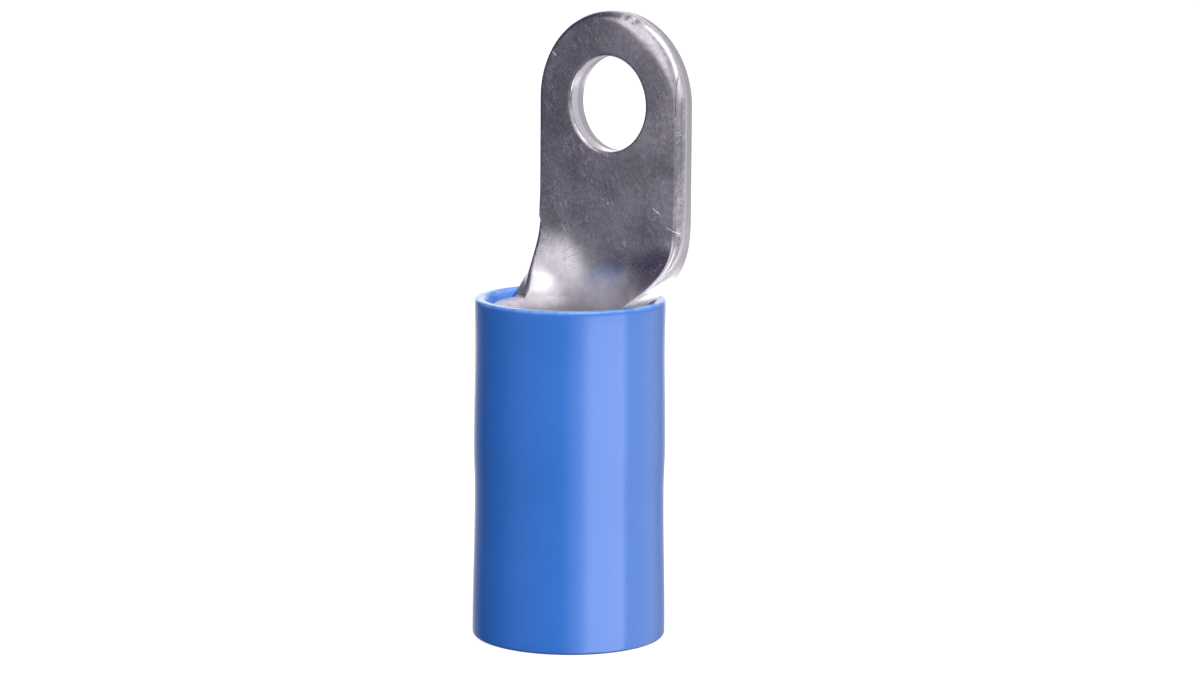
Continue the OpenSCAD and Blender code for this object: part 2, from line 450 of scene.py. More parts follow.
def scuff_group():
    """Fine hair lines in one direction, sparse, as a mask from 0 to 1."""
    inputs = [
        ("Place", "NodeSocketVector", None),
        ("Turn", "NodeSocketVector", None),
        ("Scale", "NodeSocketFloat", 1.0),
        ("Width", "NodeSocketFloat", 0.01),
        ("Cover", "NodeSocketFloat", 0.5),
    ]
    group, given, result = new_group("hair_scuffs", inputs, [("Mask", "NodeSocketFloat")])
    seen = given.outputs
    given_turn = {"Vector": seen["Place"], "Rotation": seen["Turn"]}
    turned = put(group, "ShaderNodeVectorRotate", given_turn, rotation_type="EULER_XYZ")
    drawn = vector_maths(group, "MULTIPLY", turned.outputs[0], SCUFF_STRETCH)
    level = noise(group, drawn, seen["Scale"], 1.0)
    off = maths(group, "ABSOLUTE", maths(group, "SUBTRACT", level, 0.5))
    line = smooth_band(group, off, 0.0, seen["Width"], 1.0, 0.0)
    spread = noise(group, seen["Place"], 0.9, 3.0)
    sparse = smooth_band(group, spread, seen["Cover"], maths(group, "ADD", seen["Cover"], 0.12))
    group.links.new(maths(group, "MULTIPLY", line, sparse), result.inputs["Mask"])
    return group


# Marks of the tongue's front, as (across, up) of one end and of the other, and the half width. The
# first is a speck, and the crease runs down along the right corner
SCRATCHES = (
    (0.10, 23.93, 0.11, 23.96, 0.075),
    (3.27, 23.94, 3.70, 23.67, 0.040),
    (4.30, 22.93, 5.00, 22.68, 0.035),
    (-4.00, 32.18, -3.71, 31.98, 0.040),
    (1.20, 34.62, 1.75, 34.05, 0.035),
)
CREASE = (4.70, 31.82, 4.76, 29.09, 0.040)


def scratch_group():
    """One straight scratch, seen along Y, as a mask from 0 to 1 that fades over its width."""
    inputs = [
        ("Place", "NodeSocketVector", None),
        ("Start", "NodeSocketVector", None),
        ("Run", "NodeSocketVector", None),
        ("Width", "NodeSocketFloat", 0.05),
    ]
    group, given, result = new_group("single_scratch", inputs, [("Mask", "NodeSocketFloat")])
    seen = given.outputs
    off = vector_maths(group, "SUBTRACT", seen["Place"], seen["Start"])
    off = vector_maths(group, "MULTIPLY", off, (1.0, 0.0, 1.0))
    along = vector_maths(group, "DOT_PRODUCT", off, seen["Run"], out="Value")
    square = vector_maths(group, "DOT_PRODUCT", seen["Run"], seen["Run"], out="Value")
    share = maths(group, "DIVIDE", along, square, clamp=True)
    given_scale = {0: seen["Run"], "Scale": share}
    near = put(group, "ShaderNodeVectorMath", given_scale, operation="SCALE")
    gap = vector_maths(group, "DISTANCE", off, near.outputs["Vector"], out="Value")
    line = smooth_band(group, maths(group, "DIVIDE", gap, seen["Width"]), 0.3, 1.0, 1.0, 0.0)
    group.links.new(line, result.inputs["Mask"])
    return group


def place_scratch(tree, group, place, ends):
    """Mask of one scratch on the front side of the strip."""
    start_x, start_z, end_x, end_z, width = ends
    inputs = {"Place": place, "Start": (start_x, 0, start_z), "Width": width}
    inputs["Run"] = (end_x - start_x, 0, end_z - start_z)
    return place_group(tree, group, inputs).outputs["Mask"]


def new_finish(name):
    """A new material, its tree and its shader."""
    finish, tree = new_paint(name)
    shader = put(tree, "ShaderNodeBsdfPrincipled")
    show_surface(tree, shader)
    return finish, tree, shader


def bump(tree, shader, height, distance, below=None):
    """A bump of the given depth in millimetres, on top of the one below."""
    inputs = {"Height": height, "Distance": distance * MM}
    if below is not None:
        inputs["Normal"] = below
    made = put(tree, "ShaderNodeBump", inputs)
    tree.links.new(made.outputs[0], shader.inputs["Normal"])
    return made.outputs[0]


TIN_COLOR = (0.82, 0.785, 0.82)
TORN_COLOR = (0.71, 0.67, 0.68, 1)
# Near white of burnished lands and scratches: partly their own burnish, partly a painted highlight
BURNISH_AND_GLINT_COLOR = (0.98, 0.96, 0.98, 1)


def front_marks(tree, place, front):
    """Masks of the scratches and of the crease, on the front of the strip alone."""
    single = scratch_group()
    cuts = 0.0
    for ends in SCRATCHES:
        cuts = maths(tree, "MAXIMUM", cuts, place_scratch(tree, single, place, ends))
    crease = place_scratch(tree, single, place, CREASE)
    return maths(tree, "MULTIPLY", cuts, front), maths(tree, "MULTIPLY", crease, front)


def hair_lines(tree, scuffs, place):
    """Mask of the fine lines that handling leaves in two directions."""
    long_ones = {"Place": place, "Turn": (0.3, 0.5, 0.0), "Scale": 3.2, "Width": 0.012}
    cross_ones = {"Place": place, "Turn": (0.2, -0.9, 0.0), "Scale": 2.1, "Width": 0.008}
    lines = place_group(tree, scuffs, long_ones).outputs["Mask"]
    cross = place_group(tree, scuffs, cross_ones).outputs["Mask"]
    return maths(tree, "MAXIMUM", lines, cross)


def tinned_copper(scuffs):
    """Bright tin plate: mottled, pitted and scuffed on its faces, torn and dull where cut, with
    painted shade in its crease and its burnished lands and scratches near white, partly as a
    painted highlight.
    """
    finish, tree, shader = new_finish("tinned_copper")
    place = object_millimetres(tree)
    apart = put(tree, "ShaderNodeSeparateXYZ", {"Vector": place}).outputs
    # The third attribute marks burnished lands of the edges, painted near white, partly as a
    # painted highlight
    torn, matt, bright = (
        put(tree, "ShaderNodeAttribute", attribute_name=name).outputs["Fac"]
        for name in ("torn", "matt", "bright")
    )
    mottle = noise(tree, place, 3.2, 5.0, 0.7)
    grain = noise(tree, place, 11.0, 3.0, 0.65)
    clouds = noise(tree, place, 0.42, 3.0, 0.55)
    waves = noise(tree, place, 0.28, 1.0, 0.4)
    marks = hair_lines(tree, scuffs, place)
    front = smooth_band(tree, apart["Y"], STRIP_MID - 0.3, STRIP_MID, 1.0, 0.0)
    cuts, crease = front_marks(tree, place, front)

    # Forming has drawn the neck smooth, which leaves it little of the mottle
    unformed = smooth_band(tree, apart["Z"], MOUTH_Z + 1.0, TONGUE_Z + 0.5, 0.35, 1.0)
    mottled = smooth_band(tree, mottle, 0.34, 0.66, -0.22, 0.06)
    clouded = smooth_band(tree, clouds, 0.36, 0.62, 0.80, 1.04)
    # Painted shade: the crease's groove is darkened in the colour
    painted_crease_shade = maths(tree, "SUBTRACT", 1.0, maths(tree, "MULTIPLY", crease, 0.45))
    shade = maths(tree, "ADD", 1.0, maths(tree, "MULTIPLY", mottled, unformed))
    shade = maths(tree, "MULTIPLY", shade, clouded)
    shade = maths(tree, "MULTIPLY", shade, painted_crease_shade)
    plate = vector_maths(tree, "MULTIPLY", TIN_COLOR, shade)
    color = mix_colors(tree, torn, plate, TORN_COLOR)
    # Burnished lands and scratches go near white: real burnish with a painted highlight on it
    color = mix_colors(tree, maths(tree, "MAXIMUM", bright, cuts), color, BURNISH_AND_GLINT_COLOR)
    tree.links.new(color, shader.inputs["Base Color"])

    rough = smooth_band(tree, grain, 0.3, 0.7, 0.19, 0.29)
    for mask, amount in ((marks, 0.12), (torn, 0.10), (matt, 0.6), (cuts, 0.45)):
        rough = maths(tree, "ADD", rough, maths(tree, "MULTIPLY", mask, amount))
    tree.links.new(rough, shader.inputs["Roughness"])
    shader.inputs["Metallic"].default_value = 1.0

    cut_in = maths(tree, "MAXIMUM", marks, maths(tree, "MULTIPLY", crease, 3.0))
    first = bump(tree, shader, waves, 0.09)
    second = bump(tree, shader, maths(tree, "MULTIPLY", mottle, unformed), 0.006, first)
    third = bump(tree, shader, grain, 0.0012, second)
    fourth = bump(tree, shader, maths(tree, "SUBTRACT", 1.0, cut_in), 0.004, third)
    bump(tree, shader, cuts, 0.02, fourth)
    return finish


VINYL_COLORS = (0.020, 0.162, 0.64, 1), (0.028, 0.182, 0.68, 1)
# Paler blue of the rim's top: the cut's own whitening, and painted light falling on the top
SAWN_AND_LIT_RIM_COLOR = (0.22, 0.45, 0.9, 1)
PALE_RIM_DEPTH = 0.24


def blue_vinyl(scuffs):
    """Satin blue plastic, paler at its rim's top, partly whitened where it was cut with a saw and
    partly painted light from above, with faint drawing lines and scuffs.
    """
    finish, tree, shader = new_finish("blue_vinyl")
    place = object_millimetres(tree)
    color = mix_colors(tree, noise(tree, place, 0.35), *VINYL_COLORS)
    up = put(tree, "ShaderNodeSeparateXYZ", {"Vector": place}).outputs["Z"]
    # Pale band at the rim: partly the cut's whitening, partly painted light from above
    sawn_and_lit_rim = smooth_band(tree, up, SLEEVE_L - PALE_RIM_DEPTH, SLEEVE_L - 0.02)
    patchy = smooth_band(tree, noise(tree, place, 2.0), 0.3, 0.7, 0.35, 0.8)
    color = mix_colors(tree, maths(tree, "MULTIPLY", sawn_and_lit_rim, patchy), color, SAWN_AND_LIT_RIM_COLOR)
    tree.links.new(color, shader.inputs["Base Color"])

    grain = noise(tree, place, 5.0, 3.0)
    lines = {"Place": place, "Turn": (0.1, 0.2, 0.0), "Scale": 1.6, "Width": 0.004, "Cover": 0.55}
    marks = place_group(tree, scuffs, lines).outputs["Mask"]
    rough = smooth_band(tree, grain, 0.3, 0.7, 0.17, 0.22)
    rough = maths(tree, "ADD", rough, maths(tree, "MULTIPLY", marks, 0.15))
    tree.links.new(rough, shader.inputs["Roughness"])
    shader.inputs["Specular IOR Level"].default_value = 1.0

    drawn = vector_maths(tree, "MULTIPLY", place, (1.0, 1.0, 0.03))
    first = bump(tree, shader, noise(tree, drawn, 3.0), 0.0012)
    bump(tree, shader, grain, 0.0006, first)
    return finish


# ---------------------------------------------------------------- terminal body

# How closely the mesh follows the shape: rings over a rolled corner and insets of those beside it,
# and steps along an edge, over the flat, up and across the neck, round the hole and the barrel
ROLL_RINGS = 7
HOLE_RINGS = 4
FLAT_RINGS = (0.09, 0.2)
EDGE_RINGS = ROLL_RINGS + 1 + len(FLAT_RINGS)
TERMINAL_SHARP = 38
ALONG_STEP = 0.12
FILL_STEP = 0.16
FILL_MARGIN = FILL_STEP * 0.6
NECK_ROWS = 40
NECK_COLUMNS = 64
NECK_TOP = TONGUE_Z + 0.4
HOLE_STATIONS = 160
HOLE_OUT_R = STUD_R + HOLE_ROLL_W + FLAT_RINGS[-1]
REST_COLUMNS = 150
MOUTH_ROWS = (0.08, 0.16, 0.25, 0.35, 0.46, 0.58, 0.7, 0.82, 0.94)
MOUTH_ROWS_L = 1.0
BARREL_ROW_STEP = 0.35


def smooth_outwards(mesh, sharp):
    """Turn a closed mesh's faces outwards and smooth it, but for edges past an angle in degrees."""
    work = bmesh.new()
    work.from_mesh(mesh)
    bmesh.ops.recalc_face_normals(work, faces=work.faces)
    work.to_mesh(mesh)
    work.free()
    mesh.shade_smooth()
    mesh.set_sharp_from_angle(angle=math.radians(sharp))


def eased(x):
    x = np.clip(x, 0.0, 1.0)
    return x * x * (3 - 2 * x)


def half_width(z, step_l=PRESS_STEP_L):
    """Half width of the blank at height z: flared at the foot, wider where the press flattens."""
    down = np.clip((TONGUE_Z - z) / NECK_L, 0, 1)
    neck = NECK_TOP_W + NECK_FLARE * down**5
    return neck + PRESS_STEP * eased((z - TONGUE_Z) / step_l + PRESS_STEP_BELOW)


def edge_at(z, side):
    """The blank's edge at height z, to the right (1) or the left (-1), with the press's nick."""
    deep, high, step_l = NICKS[side]
    return float(half_width(z, step_l) - deep * np.exp(-(((z - TONGUE_Z) / high) ** 2)))


def roll_share(z, side):
    """Size of the rolled corner as a share of the tongue's, down to nothing at the very foot."""
    up = np.clip((z - MOUTH_Z) / NECK_L, 0, 1)
    return float(up * (1 - FOOT_ROLLS[side]) + FOOT_ROLLS[side] * eased(up / FOOT_ROLL_END))


# Below this curvature the strip counts as flat, and above it its radius stays a finite number
LEAST_CURVE = 1e-6


def bend(u, v, z):
    """Place of a point of the blank: u across, v through (front below 0), rolled in the neck."""
    down = np.clip((TONGUE_Z - z) / NECK_L, 0, 1)
    curve = np.maximum(WRAP * down**2 / half_width(z), LEAST_CURVE)
    radius = 1 / curve
    x = (radius + v) * np.sin(u * curve)
    y = STRIP_MID - radius + (radius + v) * np.cos(u * curve)
    return np.stack([x, y, np.broadcast_to(z, x.shape)], -1)


def roll_drop(inset, width, depth):
    """How far the front face has dropped at some inset from a rolled edge."""
    share = np.clip(1 - inset / width, 0, 1)
    return depth * (1 - np.sqrt(1 - share**2))


def edge_roll_width(across, up):
    """Width of the tongue's rolled corner, which is drawn wider round its upper right."""
    turn = math.degrees(math.atan2(up - END_Z, across))
    return ROLL_W + WIDE_ROLL * math.exp(-(((turn - WIDE_ROLL_TURN) / WIDE_ROLL_SPREAD) ** 2))


def ring_insets(width, count):
    """Insets of the rings over a rolled corner, and of the two rings on the flat beside it."""
    over = [width * (1 - math.cos(math.pi / 2 * k / count)) for k in range(count + 1)]
    return over + [width + step for step in FLAT_RINGS]


# Inset of the points that no edge reaches, and the inset below which a point is on the edge itself
FAR_IN = 9.0
EDGE_ITSELF = 0.001


class Blank:
    """Flat blank of tongue and neck as one grid, before it is given its thickness and bent.

    Each point has its place (across, up), its inset from the nearest edge, the way inwards from
    that edge (across, up), and the width and depth of that edge's rolled corner.
    """

    def __init__(self):
        self.points = []
        self.faces = []

    def add(self, across, up, inset=FAR_IN, inwards=(0, 0), roll=(1.0, 0.0)):
        self.points.append((across, up, inset, *inwards, *roll))
        return len(self.points) - 1

    def strip(self, first, second):
        """Quads between two rows of points."""
        pairs = zip(zip(first, second), zip(first[1:], second[1:]))
        self.faces += [(a, b, d, c) for (a, b), (c, d) in pairs]

    def edge_rings(self, across, up, inwards, roll, count):
        """Points on the rings inwards from one station of an edge."""
        return [
            self.add(across + inset * inwards[0], up + inset * inwards[1], inset, inwards, roll)
            for inset in ring_insets(roll[0], count)
        ]


def lay_neck(blank):
    """Rows of points from the barrel's mouth up to the tongue's flat, right to left."""
    rows = []
    for z in np.linspace(MOUTH_Z, NECK_TOP, NECK_ROWS + 1):
        ends = {}
        for side in (1, -1):
            share, half = roll_share(z, side), edge_at(z, side)
            roll = (max(ROLL_W * share, LEAST_ROLL_W), ROLL_DEPTH * share)
            rings = blank.edge_rings(side * half, z, (-side, 0), roll, ROLL_RINGS)
            ends[side] = (rings, side * (half - roll[0] - FLAT_RINGS[-1]))
        right, left = ends[1][0], ends[-1][0]
        places = np.linspace(ends[1][1], ends[-1][1], NECK_COLUMNS + 1)[1:-1]
        rows.append(right + [blank.add(x, z) for x in places] + left[::-1])
    for low, high in zip(rows, rows[1:]):
        blank.strip(low, high)
    return rows


def lay_tongue_edge(blank, neck_top):
    """Rings along the tongue's sides and round its end, from the neck's right to its left."""
    count = round((END_Z - NECK_TOP) / ALONG_STEP)
    heights = np.linspace(NECK_TOP, END_Z, count + 1)[1:-1]
    turns = np.linspace(0, math.pi, round(math.pi * TONGUE_R / ALONG_STEP) + 1)
    stations = [(edge_at(z, 1), z, (-1, 0)) for z in heights]
    for turn in turns:
        way = (math.cos(turn), math.sin(turn))
        stations.append((TONGUE_R * way[0], END_Z + TONGUE_R * way[1], (-way[0], -way[1])))
    stations += [(-edge_at(z, -1), z, (1, 0)) for z in heights[::-1]]
    columns = [neck_top[:EDGE_RINGS]]
    for across, up, inwards in stations:
        roll = (edge_roll_width(across, up), ROLL_DEPTH)
        columns.append(blank.edge_rings(across, up, inwards, roll, ROLL_RINGS))
    columns.append(neck_top[::-1][:EDGE_RINGS])
    for before, after in zip(columns, columns[1:]):
        blank.strip(before, after)
    return columns


def lay_hole_edge(blank):
    """Rings round the stud hole."""
    columns = []
    for turn in np.linspace(0, 2 * math.pi, HOLE_STATIONS, endpoint=False):
        way = (math.cos(turn), math.sin(turn))
        place = (STUD_R * way[0], HOLE_Z + STUD_R * way[1], way)
        columns.append(blank.edge_rings(*place, (HOLE_ROLL_W, HOLE_ROLL_DEPTH), HOLE_RINGS))
    for before, after in zip(columns, columns[1:] + columns[:1]):
        blank.strip(before, after)
    return columns


def fill_tongue(blank, outer, hole):
    """Even triangles over the tongue's flat, between the rings of its edge and of the hole."""
    loops = [outer, hole]
    known = outer + hole
    places = [Vector(blank.points[index][:2]) for index in known]
    edges, start = [], 0
    for loop in loops:
        edges += [(start + k, start + (k + 1) % len(loop)) for k in range(len(loop))]
        start += len(loop)
    for z in np.arange(NECK_TOP + FILL_STEP, END_Z + TONGUE_R, FILL_STEP):
        for x in np.arange(-TONGUE_R, TONGUE_R, FILL_STEP):
            inner = TONGUE_R - edge_roll_width(x, z) - FLAT_RINGS[-1]
            reach = math.hypot(x, max(z - END_Z, 0))
            clear = math.hypot(x, z - HOLE_Z) - HOLE_OUT_R
            if reach < inner - FILL_MARGIN and clear > FILL_MARGIN:
                known.append(blank.add(x, z))
                places.append(Vector((x, z)))
    _, _, faces, origins, *_ = delaunay_2d_cdt(places, edges, [], 1, 1e-7)
    round_hole = set(hole)
    for face in faces:
        corners = tuple(known[origins[k][0]] for k in face)
        if not round_hole.issuperset(corners):
            blank.faces.append(corners)


def mouth_ease(turns, up):
    """How far the inside stands back where it eases from the bore into the neck and the rim.

    Without it the neck, which slopes back by its own square law, meets the bore at a kink.
    """
    slope = 2 / NECK_L * STRIP_MID * (1 - np.cos(np.minimum(np.abs(turns), WRAP)))
    to_right = eased(turns / WRAP + 0.5)
    past = eased((-turns - math.pi) / 1.0)
    reach = EASE_HEIGHTS[-1] + (EASE_HEIGHTS[1] - EASE_HEIGHTS[-1]) * np.maximum(to_right, past)
    near = np.clip(1 - np.abs(up - MOUTH_Z) / reach, 0, 1)
    return slope * reach / 4 * near**2


def front_depth(across, up, inset, roll_w, roll_depth):
    """How far front points lie through the strip, its mid plane at 0."""
    drop = roll_drop(inset, roll_w, roll_depth)
    for x, z, wide, high, deep in DENTS:
        drop = drop + deep * np.exp(-(((across - x) / wide) ** 2) - ((up - z) / high) ** 2)
    flat = eased((up - TONGUE_Z) / CROWN_START_L)
    drop = drop + mouth_ease(across / STRIP_MID, up)
    return drop - HALF_T + CROWN * flat * (across / TONGUE_R) ** 2


# Across a blanked edge, from front to back: share of the way, how far it stands back, how torn
SIDE_STEPS = (
    (0.05, 0.0, 0.0),
    (0.12, 0.012, 0.8),
    (0.35, 0.026, 1),
    (0.65, 0.032, 1),
    (0.9, 0.02, 1),
)
HOLE_STEPS = (
    (0.04, 0.0, 0.0),
    (0.3, 0.0, 0.0),
    (0.5, 0.0, 0.1),
    (0.6, 0.03, 1),
    (0.9, 0.05, 1),
)

# The neck's edge is less torn than the tongue's, down to this share at its foot
FOOT_TORN = 0.35

# A corner rolled at least this deep has a burnished band behind it, painted near white where it is
# not torn, partly as a painted highlight; past the second depth it ends in a land painted the same,
# and the torn face stands back in full
BRIGHT_ROLL_DEPTH = 0.1
FULL_ROLL_DEPTH = 0.2

# How matt the inside of the neck's foot is, how far up it fades, and how much more so on the right
FOOT_MATT, FOOT_MATT_H, RIGHT_MATT = 0.32, 2.2, 1.5


def foot_matt(turns):
    """How matt the forming leaves the inside at the neck's foot: more so on the right."""
    to_right = eased(turns / 0.8) * eased((math.pi - np.abs(turns)) / 1.0)
    return FOOT_MATT * (1 + RIGHT_MATT * to_right)


def back_round(depth):
    """Rounding of the back's edge, behind a front corner that is rolled to some depth."""
    return BACK_ROUND * np.clip(depth / ROLL_DEPTH, 0, 1)


class Shell:
    """Closed mesh under construction: corners, faces, and how torn, matt, or burnished with a
    painted highlight each corner is.
    """

    def __init__(self):
        self.corners = []
        self.marks = {"torn": [], "matt": [], "bright": []}
        self.faces = []

    def add(self, places, **marks):
        start = len(self.corners)
        self.corners += [tuple(p) for p in places]
        for name, values in self.marks.items():
            values += list(np.broadcast_to(marks.get(name, 0.0), len(places)))
        return list(range(start, len(self.corners)))

    def join(self, first, second, closed=False):
        """Quads between two rows of corners."""
        pairs = list(zip(first, second))
        if closed:
            pairs.append(pairs[0])
        for (a, b), (c, d) in zip(pairs, pairs[1:]):
            self.faces.append((a, b, d, c))

    def mesh(self, name):
        made = bpy.data.meshes.new(name)
        made.from_pydata([Vector(c) * MM for c in self.corners], [], self.faces)
        smooth_outwards(made, TERMINAL_SHARP)
        for title, values in self.marks.items():
            layer = made.attributes.new(title, "FLOAT", "POINT")
            layer.data.foreach_set("value", np.array(values, np.float32))
        return made


def walls_between(shell, blank, outline, drop, front, back, steps, closed=False):
    """The blanked edge through the strip's thickness, at the points of an outline."""
    columns = []
    for k in outline:
        across, up, _, in_across, in_up, _, roll_depth = blank.points[k]
        size = min(roll_depth / FULL_ROLL_DEPTH, 1)
        low, high = drop[k], HALF_T - float(back_round(roll_depth))
        column = [front[k]]
        pressed = FOOT_TORN + (1 - FOOT_TORN) * float(eased((up - MOUTH_Z) / NECK_L))
        for way, stand_back, torn in steps:
            torn *= pressed
            # Untorn land behind a deep roll: burnish, painted near white partly as a painted
            # highlight
            bright = 1 - torn if roll_depth > BRIGHT_ROLL_DEPTH else 0
            u, z = across + in_across * stand_back * size, up + in_up * stand_back * size
            column += shell.add([bend(u, low + (high - low) * way, z)], torn=torn, bright=bright)
        columns.append([*column, back[k]])
    for before, after in zip(columns, columns[1:] + (columns[:1] if closed else [])):
        shell.join(before, after)
    return columns


def barrel_rows():
    """Heights down the barrel: close at the mouth, at each serration and at the bevel."""
    rows = {BARREL_Z + BARREL_BEVEL}
    rows |= {MOUTH_Z - drop for drop in MOUTH_ROWS}
    low, high = BARREL_Z + 2 * BARREL_BEVEL, MOUTH_Z - MOUTH_ROWS_L
    rows |= {float(z) for z in np.arange(low, high, BARREL_ROW_STEP)}
    for k in range(1, SERRATIONS + 1):
        middle = BARREL_Z + k * SERRATION_PITCH
        rows |= {middle - SERRATION_W / 2, middle, middle + SERRATION_W / 2}
    return sorted(rows, reverse=True)


def serration_depth(z):
    """How deep the nearest serration cuts into the bore at height z."""
    number = np.clip(round((z - BARREL_Z) / SERRATION_PITCH), 1, SERRATIONS)
    off = abs(z - (BARREL_Z + number * SERRATION_PITCH))
    return SERRATION_DEPTH * max(0.0, 1 - off / (SERRATION_W / 2))


def ring_places(radii, turns, heights):
    """Places round the axis, turned from the tongue's side towards the right."""
    radii = np.broadcast_to(radii, turns.shape)
    heights = np.broadcast_to(heights, turns.shape)
    return np.stack([radii * np.sin(turns), radii * np.cos(turns), heights], -1)


# The mouth's cut is worn smoother than the wire end's. Its rounding fades out beside the neck, and
# the bore grows matt down to a depth
MOUTH_TORN, MOUTH_MATT, WIRE_END_TORN = 0.1, 0.3, 0.7
MOUTH_FADE = math.radians(5)
BORE_MATT_L = 2.0


def lay_mouth(shell, rest, walls):
    """The barrel's mouth, from the neck's left wall round the front to its right wall."""
    fade = eased(np.minimum(rest[0] - rest, rest - rest[-1]) / MOUTH_FADE)
    lip = MOUTH_Z - MOUTH_ROUND * fade
    starts = BORE_R + mouth_ease(rest, lip)
    inner = shell.add(ring_places(starts, rest, lip), matt=FOOT_MATT)
    outer = shell.add(ring_places(BARREL_R, rest, lip))
    columns = [walls[-1]]
    for k, turn in enumerate(rest):
        middle = []
        for way, _, _ in SIDE_STEPS:
            radius = starts[k] + (BARREL_R - starts[k]) * way
            place = ring_places(radius, np.array([turn]), MOUTH_Z)
            middle += shell.add(place, torn=MOUTH_TORN, matt=MOUTH_MATT)
        columns.append([inner[k], *middle, outer[k]])
    columns.append(walls[0])
    for before, after in zip(columns, columns[1:]):
        shell.join(before, after)
    return inner, outer


def build_barrel(shell, neck_turns, neck_front, neck_back, walls):
    """Barrel below the neck's foot, its mouth beside the neck and its bevelled wire end."""
    rest = np.linspace(neck_turns[-1], neck_turns[0] - 2 * math.pi, REST_COLUMNS + 2)[1:-1]
    turns = np.concatenate([neck_turns, rest])
    seam = SEAM_DEPTH * np.clip(1 - np.abs(np.abs(turns) - math.pi) * BARREL_R / SEAM_W, 0, 1)
    mouth_inner, mouth_outer = lay_mouth(shell, rest, walls)
    inner, outer = neck_front + mouth_inner, neck_back + mouth_outer
    for z in barrel_rows():
        radii = BORE_R + serration_depth(z) + mouth_ease(turns, z)
        matt = foot_matt(turns) + (1 - foot_matt(turns)) * eased((MOUTH_Z - z) / BORE_MATT_L)
        below = shell.add(ring_places(radii, turns, z), matt=matt)
        shell.join(inner, below, closed=True)
        inner = below
        below = shell.add(ring_places(BARREL_R - seam, turns, z))
        shell.join(outer, below, closed=True)
        outer = below
    wire_end = (
        (BORE_R + BARREL_BEVEL, BARREL_Z, 0.0),
        (STRIP_MID, BARREL_Z, WIRE_END_TORN),
        (BARREL_R - MOUTH_ROUND, BARREL_Z, WIRE_END_TORN),
        (BARREL_R, BARREL_Z + MOUTH_ROUND, 0.0),
    )
    for radius, height, torn in wire_end:
        radii = radius - seam * (radius > STRIP_MID)
        below = shell.add(ring_places(radii, turns, height), torn=torn)
        shell.join(inner, below, closed=True)
        inner = below
    shell.join(inner, outer, closed=True)


def build_terminal():
    """The terminal's one piece of strip: tongue with its hole, scooped neck and barrel."""
    blank = Blank()
    rows = lay_neck(blank)
    edge = lay_tongue_edge(blank, rows[-1])
    hole = lay_hole_edge(blank)
    bottom = rows[-1][::-1][EDGE_RINGS:-EDGE_RINGS]
    fill_tongue(blank, [column[-1] for column in edge] + bottom, [column[-1] for column in hole])

    across, up, inset, in_across, in_up, roll_w, roll_depth = np.array(blank.points).T
    drop = front_depth(across, up, inset, roll_w, roll_depth)
    matt = foot_matt(across / STRIP_MID) * eased((MOUTH_Z + FOOT_MATT_H - up) / FOOT_MATT_H)
    # The very edge of a deep roll: painted near white as a highlight line, partly real burnish
    bright = (inset < EDGE_ITSELF) & (roll_depth > FULL_ROLL_DEPTH)
    shift = back_round(roll_depth) * np.clip(1 - inset / (roll_w + FLAT_RINGS[-1]), 0, 1)
    back_across, back_up = across + in_across * shift, up + in_up * shift
    shell = Shell()
    front = shell.add(bend(across, drop, up), matt=matt, bright=bright)
    back = shell.add(bend(back_across, np.full_like(across, HALF_T), back_up))
    shell.faces += [tuple(front[k] for k in face) for face in blank.faces]
    shell.faces += [tuple(back[k] for k in face[::-1]) for face in blank.faces]

    right = [row[0] for row in rows]
    left = [row[-1] for row in rows]
    outline = right + [column[0] for column in edge[1:-1]] + left[::-1]
    walls = walls_between(shell, blank, outline, drop, front, back, SIDE_STEPS)
    rim = [column[0] for column in hole]
    walls_between(shell, blank, rim, drop, front, back, HOLE_STEPS, closed=True)
    foot = rows[0]
    foot_front, foot_back = [front[k] for k in foot], [back[k] for k in foot]
    build_barrel(shell, across[foot] / STRIP_MID, foot_front, foot_back, walls)
    return shell.mesh("terminal")


# ---------------------------------------------------------------- sleeve

SLEEVE_SHARP = 50
SLEEVE_STEPS_AROUND = 256
CURVE_STEPS = 14
ARC_STEPS = 6
EDGE_SOFT = 0.05


def arc(centre, radius, start, end, steps):
    """Points of an arc in the (radius, height) plane, angles in degrees."""
    return [
        (
            centre[0] + radius * math.cos(math.radians(start + (end - start) * k / steps)),
            centre[1] + radius * math.sin(math.radians(start + (end - start) * k / steps)),
        )
        for k in range(steps + 1)
    ]


